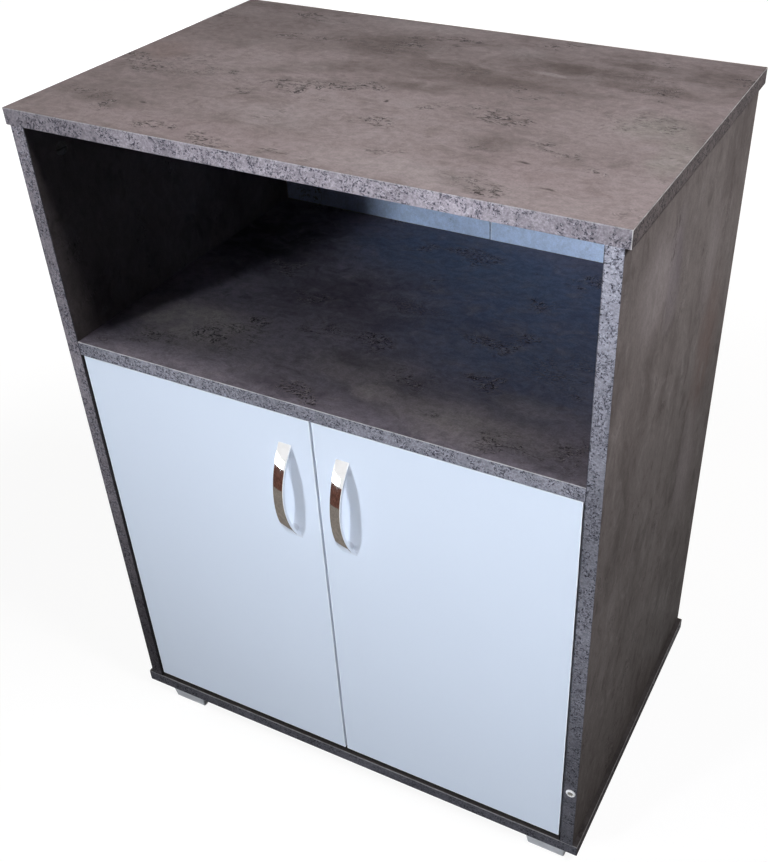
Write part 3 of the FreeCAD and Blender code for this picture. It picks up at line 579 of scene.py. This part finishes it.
def plainFinish(name, spec):
    made = newMaterial(name)
    tree = made.node_tree
    here = put(tree, "TexCoord").outputs["Object"]
    slow = grain(tree, here, spec["size"], 4, 0.55)
    fine = grain(tree, here, spec["grain"], 3, 0.6)
    colour = blendColour(tree, between(tree, slow, 0.35, 0.65), spec["colour"], spec["second"])
    colour = paintedEdgeLines(tree, here, colour, spec.get("lines", []))
    rough = between(tree, slow, 0.3, 0.7, spec["rough"] * 0.85, spec["rough"] * 1.2)
    return finishMaterial(made, colour, rough, fine, spec)


finishes = {}
for name, spec in plain.items():
    finishes[name] = plainFinish(name, spec)
    dress(finishes[name], *spec["nodes"])
print("stage: plain finishes")

# bow handles: an arched strap, waisted in the middle, on two short posts
lowEnd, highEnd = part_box("right_handle")
handle = {
    "length": highEnd.z - lowEnd.z, "rise": highEnd.y - lowEnd.y, "endWidth": highEnd.x - lowEnd.x,
    "x": (lowEnd.x + highEnd.x) / 2, "z": (lowEnd.z + highEnd.z) / 2, "door": highEnd.y,
    "thick": 0.0040, "midWidth": 0.0116, "round": 0.0007, "overrun": 0.03, "steps": 72, "cornerSteps": 3,
    "post": 0.0045, "postSpacing": 0.096, "postSides": 40, "postStop": 0.8, "sharpAngle": 40,
}
handle["radius"] = ((handle["length"] / 2) ** 2 + handle["rise"] ** 2) / (2 * handle["rise"])


def strapSection(halfWidth, halfThick, rounding, steps):
    # a rounded rectangle, as pairs of (across, outward)
    points = []
    for quarter, (signX, signY) in enumerate(((1, 1), (-1, 1), (-1, -1), (1, -1))):
        for step in range(steps + 1):
            angle = math.pi / 2 * (quarter + step / steps)
            points.append((signX * (halfWidth - rounding) + rounding * math.cos(angle),
                           signY * (halfThick - rounding) + rounding * math.sin(angle)))
    return points


def strapRings(shape, side):
    # sections along the arc, running a little past the door face at both ends
    half = handle["length"] / 2
    middle = handle["radius"] - handle["thick"] / 2
    centreY = handle["door"] - handle["rise"] + handle["radius"]
    reach = math.asin(half / handle["radius"]) + handle["overrun"]
    rings = []
    for step in range(handle["steps"] + 1):
        angle = -reach + 2 * reach * step / handle["steps"]
        share = min(1.0, (middle * math.sin(angle) / half) ** 2)
        halfWidth = (handle["midWidth"] + (handle["endWidth"] - handle["midWidth"]) * share) / 2
        ring = []
        section = strapSection(halfWidth, handle["thick"] / 2, handle["round"], handle["cornerSteps"])
        for across, outward in section:
            ring.append(shape.verts.new((side * handle["x"] + across,
                                         centreY - (middle + outward) * math.cos(angle),
                                         handle["z"] + (middle + outward) * math.sin(angle))))
        rings.append(ring)
    return rings


def objectFrom(shape, name):
    mesh = bpy.data.meshes.new(name)
    shape.to_mesh(mesh)
    shape.free()
    made = bpy.data.objects.new(name, mesh)
    scene.collection.objects.link(made)
    return made


def makeStrap(side, name):
    shape = bmesh.new()
    rings = strapRings(shape, side)
    count = len(rings[0])
    for first, second in zip(rings, rings[1:]):
        for i in range(count):
            j = (i + 1) % count
            shape.faces.new((first[i], first[j], second[j], second[i]))
    # cut flat where the strap meets the door, and close the cuts
    bmesh.ops.bisect_plane(shape, geom=shape.verts[:] + shape.edges[:] + shape.faces[:],
                           plane_co=(0, handle["door"], 0), plane_no=(0, 1, 0), clear_outer=True)
    bmesh.ops.holes_fill(shape, edges=[e for e in shape.edges if e.is_boundary], sides=0)
    bmesh.ops.recalc_face_normals(shape, faces=shape.faces[:])
    return objectFrom(shape, name)


def makePosts(side, name):
    # round posts from the door face into the strap
    halfSpacing = handle["postSpacing"] / 2
    underArc = math.sqrt(handle["radius"] ** 2 - halfSpacing ** 2) - (handle["radius"] - handle["rise"])
    tall = underArc - handle["thick"] * handle["postStop"]
    shape = bmesh.new()
    for end in (-1, 1):
        middle = (side * handle["x"], handle["door"] - tall / 2, handle["z"] + end * halfSpacing)
        bmesh.ops.create_cone(shape, cap_ends=True, segments=handle["postSides"], radius1=handle["post"],
                              radius2=handle["post"], depth=tall,
                              matrix=Matrix.Translation(middle) @ Matrix.Rotation(math.pi / 2, 4, "X"))
    return objectFrom(shape, name)


def makeHandle(side, name):
    strap = makeStrap(side, name)
    posts = makePosts(side, name + "_posts")
    union = strap.modifiers.new("posts", "BOOLEAN")
    union.operation, union.solver, union.object = "UNION", "EXACT", posts
    bpy.context.view_layer.update()
    whole = bpy.data.meshes.new_from_object(strap.evaluated_get(bpy.context.evaluated_depsgraph_get()))
    strap.modifiers.clear()
    strap.data = whole
    bpy.data.objects.remove(posts)
    whole.materials.clear()
    whole.materials.append(finishes["chrome"])
    whole.shade_smooth()
    whole.set_sharp_from_angle(angle=math.radians(handle["sharpAngle"]))
    return strap


bows = []
for side, word in ((-1, "left"), (1, "right")):
    bow = makeHandle(side, word + "_bow_handle")
    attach(bow, word + "_leaf")
    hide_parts(word + "_handle")
    bows.append(bow)
print("stage: bow handles")

# arrises of boards and bands are eased a little
easing = {
    "weld": 0.000002, "segments": 2, "angle": 50,
    "widths": {
        0.00035: ["top_panel", "bottom_panel", "left_side_panel", "right_side_panel", "middle_shelf",
                  "inner_shelf", "left_door", "right_door"],
        0.00030: ["top_edge_bands", "bottom_edge_bands", "left_side_edge_band", "right_side_edge_band",
                  "shelf_edge_band", "inner_shelf_edge_band", "left_door_edge_bands", "right_door_edge_bands",
                  "back_board_left", "back_board_right"],
    },
}
for width, names in easing["widths"].items():
    for name in names:
        weld = nodes[name].modifiers.new("weld", "WELD")
        weld.merge_threshold = easing["weld"]
        ease = nodes[name].modifiers.new("ease", "BEVEL")
        ease.width, ease.segments, ease.limit_method = width, easing["segments"], "ANGLE"
        ease.angle_limit = math.radians(easing["angle"])
        ease.harden_normals = True
print("stage: eased edges")

# camera: where it stands, a point it looks at, and how far it leans
view = {
    "place": (0.51804, -0.89945, 1.14660),
    "aim": (0.1559594, -0.1869933, 0.5455150),
    "lean": -0.89098,
    "lens": 45.93, "sensor": 36, "shift": (-0.0826, 0.0236), "reach": 50,
}
cameraData = bpy.data.cameras.new("camera")
camera = bpy.data.objects.new("camera", cameraData)
scene.collection.objects.link(camera)
gaze = (Vector(view["aim"]) - Vector(view["place"])).to_track_quat("-Z", "Y").to_matrix().to_4x4()
lean = Matrix.Rotation(math.radians(view["lean"]), 4, "Z")
camera.matrix_world = Matrix.Translation(view["place"]) @ gaze @ lean
cameraData.lens, cameraData.sensor_width = view["lens"], view["sensor"]
cameraData.shift_x, cameraData.shift_y = view["shift"]
cameraData.clip_end = view["reach"]
scene.camera = camera

# room: pale floor, soft lamps, white background; the cards only show in the chrome
room = {
    "floorSize": 14.0, "floorSquares": 8, "floorColour": (0.16, 0.16, 0.16),
    "floorGlow": 0.90, "floorEven": (0.7, 1.9),  # a little greyer near the object, then white
    "worldFill": (0.02, 0.02, 0.021),
    "lamps": {
        "window light": {"at": (-1.27, -2.95, 1.07), "size": (0.42, 0.45), "power": 7.9, "spread": 55,
                         "colour": (0.88, 0.94, 1.0), "aim": (0.5, -0.19, 0.9), "bowShadows": True},
        "side window": {"at": (-2.58, -3.30, 0.87), "size": (2.4, 1.6), "power": 10.6, "spread": 45,
                        "colour": (1.0, 1.0, 0.98), "aim": (0.8, -0.19, 0.7)},
        "ceiling light": {"at": (1.5, -0.1, 2.6), "size": (0.9, 0.9), "power": 12.3, "spread": 90,
                          "colour": (1.0, 0.97, 0.98), "aim": (0.1, 0.0, 0.95)},
        "left light": {"at": (-2.25, -0.6, 2.83), "size": (1.0, 1.0), "power": 19.0,
                       "colour": (1.0, 0.94, 0.84), "aim": (0.0, 0.0, 0.5)},
        "front light": {"at": (0.47, -2.66, 2.4), "size": (1.0, 1.0), "power": 7.0,
                        "colour": (0.68, 0.82, 1.0), "aim": (0.0, -0.1, 0.5), "sparesNiche": True},
        "back light": {"at": (-2.2, 2.4, 0.40), "size": (1.5, 0.7), "power": 34.0,
                       "colour": (1.0, 1.0, 1.0), "aim": (0.0, 0.2, 0.35)},
    },
    "cards": {
        "wood card": {"colour": (0.20, 0.175, 0.155), "second": (0.26, 0.23, 0.20),
                      "corners": [(-1.75, -1.80, 0.003), (0.35, -1.80, 0.003),
                                  (0.35, 0.15, 0.003), (-1.75, 0.15, 0.003)]},
        "brown card": {"colour": (0.085, 0.038, 0.030), "second": (0.16, 0.075, 0.055),
                       "corners": [(-1.75, -0.75, 0.0), (0.25, -1.65, 0.0),
                                   (0.25, -1.65, 0.60), (-1.75, -0.75, 0.60)]},
    },
}


def whiteRays(tree):
    path = put(tree, "LightPath")
    seen = calc(tree, "MAXIMUM", path.outputs["Is Camera Ray"], path.outputs["Is Glossy Ray"])
    return calc(tree, "MAXIMUM", seen, path.outputs["Is Transmission Ray"])


def makeFloor():
    shape = bmesh.new()
    bmesh.ops.create_grid(shape, x_segments=room["floorSquares"], y_segments=room["floorSquares"],
                          size=room["floorSize"] / 2)
    floor = objectFrom(shape, "floor")
    made = newMaterial("pale floor")
    tree = made.node_tree
    here = put(tree, "TexCoord").outputs["Object"]
    soft = between(tree, grain(tree, here, 0.4, 3), 0.3, 0.7, 0.98, 1.02)
    colour = put(tree, "HueSaturation", {"Color": (*room["floorColour"], 1.0), "Value": soft}).outputs[0]
    matt = put(tree, "BsdfDiffuse", {"Color": colour})
    away = put(tree, "VectorMath", {0: here}, operation="LENGTH").outputs["Value"]
    level = between(tree, away, *room["floorEven"], room["floorGlow"], 1.0)
    glow = put(tree, "Emission", {"Color": (1.0, 1.0, 1.0, 1.0),
                                  "Strength": calc(tree, "MULTIPLY", whiteRays(tree), level)})
    both = put(tree, "AddShader", {0: matt.outputs[0], 1: glow.outputs[0]})
    put(tree, "OutputMaterial", {"Surface": both.outputs[0]})
    floor.data.materials.append(made)


def makeWorld():
    world = bpy.data.worlds.new("room light")
    world.use_nodes = True
    tree = world.node_tree
    tree.nodes.clear()
    fill = put(tree, "Background", {"Color": (*room["worldFill"], 1.0), "Strength": 1.0})
    white = put(tree, "Background", {"Color": (1.0, 1.0, 1.0, 1.0), "Strength": 1.0})
    mix = put(tree, "MixShader", {0: whiteRays(tree), 1: fill.outputs[0], 2: white.outputs[0]})
    put(tree, "OutputWorld", {"Surface": mix.outputs[0]})
    scene.world = world


def leftOut(name, members):
    # a light linking group whose members a lamp passes over
    group = bpy.data.collections.new(name)
    for member in members:
        group.objects.link(member)
    for entry in group.collection_objects:
        entry.light_linking.link_state = "EXCLUDE"
    return group


noBowShadows = leftOut("bows without shadow", bows)
noNicheLight = leftOut("niche without front light", [nodes[name] for name in (
    "middle_shelf", "left_side_panel", "back_board_left", "back_board_right")])


def makeLamp(name, spec):
    data = bpy.data.lights.new(name, "AREA")
    data.shape = "RECTANGLE"
    data.size, data.size_y = spec["size"]
    data.energy = spec["power"]
    data.spread = math.radians(spec.get("spread", 180))
    data.color = spec["colour"]
    lamp = bpy.data.objects.new(name, data)
    scene.collection.objects.link(lamp)
    lamp.location = spec["at"]
    lamp.rotation_euler = (Vector(spec["aim"]) - Vector(spec["at"])).to_track_quat("-Z", "Y").to_euler()
    if not spec.get("bowShadows"):
        lamp.light_linking.blocker_collection = noBowShadows
    if spec.get("sparesNiche"):
        lamp.light_linking.receiver_collection = noNicheLight


def makeCard(name, spec):
    mesh = bpy.data.meshes.new(name)
    mesh.from_pydata(spec["corners"], [], [(0, 1, 2, 3)])
    made = newMaterial(name)
    tree = made.node_tree
    here = put(tree, "TexCoord").outputs["Object"]
    share = between(tree, grain(tree, here, 0.06, 4), 0.35, 0.65)
    colour = blendColour(tree, share, spec["colour"], spec["second"])
    glow = put(tree, "Emission", {"Color": colour, "Strength": 1.0})
    put(tree, "OutputMaterial", {"Surface": glow.outputs[0]})
    mesh.materials.append(made)
    card = bpy.data.objects.new(name.replace(" ", "_"), mesh)
    scene.collection.objects.link(card)
    card.visible_camera = card.visible_diffuse = card.visible_shadow = False
    card.visible_transmission = card.visible_volume_scatter = False


makeFloor()
makeWorld()
for name, spec in room["cards"].items():
    makeCard(name, spec)
for name, spec in room["lamps"].items():
    makeLamp(name, spec)
scene.view_settings.view_transform = "Standard"
print("stage: room and camera")
